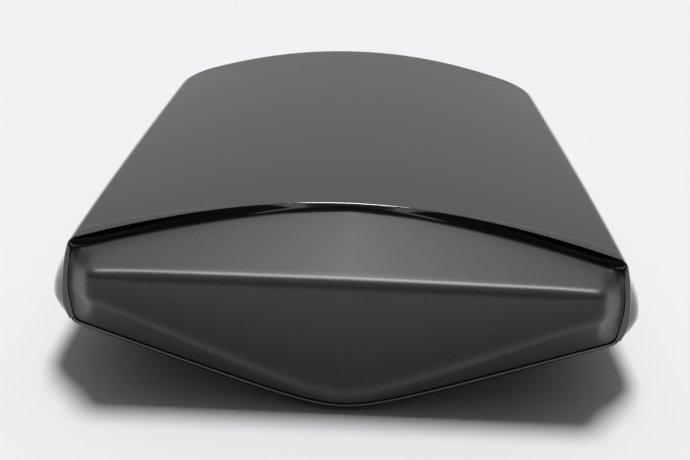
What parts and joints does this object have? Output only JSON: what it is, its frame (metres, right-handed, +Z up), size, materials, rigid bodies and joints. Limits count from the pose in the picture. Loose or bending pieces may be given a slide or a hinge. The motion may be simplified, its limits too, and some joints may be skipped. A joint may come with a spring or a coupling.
{
  "type": "passenger seat cowl",
  "caption": "Gloss moulded cover that takes the place of a sports motorcycle's passenger seat, with a textured back pad at its front, a lock striker and rubber feet below.",
  "frame": {"origin": "on the ground under the middle of the cowl, on its plane of symmetry", "axes": "+X to the rider's right, +Y to the motorcycle's tail, +Z up"},
  "size_m": [0.291, 0.2694, 0.0814],
  "materials": {
    "gloss_cover": "gloss black painted moulding",
    "textured_pad": "fine grained dark grey moulding",
    "moulded_tray": "black moulding, lightly textured",
    "zinc_screws": "zinc plated",
    "zinc_washers": "zinc plated",
    "zinc_plate": "zinc plated pressing",
    "zinc_rod": "zinc plated bent rod",
    "brass_inserts": "knurled brass",
    "foot_rubber": "moulded rubber"
  },
  "bodies": {
    "root": {"cowl_shell": "gloss_cover", "pad_panel": "textured_pad", "pad_screws": "zinc_screws", "pad_washers": "zinc_washers", "under_tray": "moulded_tray", "tray_inserts": "brass_inserts", "tray_screws": "zinc_screws", "tray_washers": "zinc_washers", "striker_plate": "zinc_plate", "striker_rod": "zinc_rod", "striker_screws": "zinc_screws", "striker_nuts": "zinc_washers", "foot_front_left": "foot_rubber", "foot_front_right": "foot_rubber", "foot_rear_left": "foot_rubber", "foot_rear_right": "foot_rubber"}
  },
  "joints": []
}
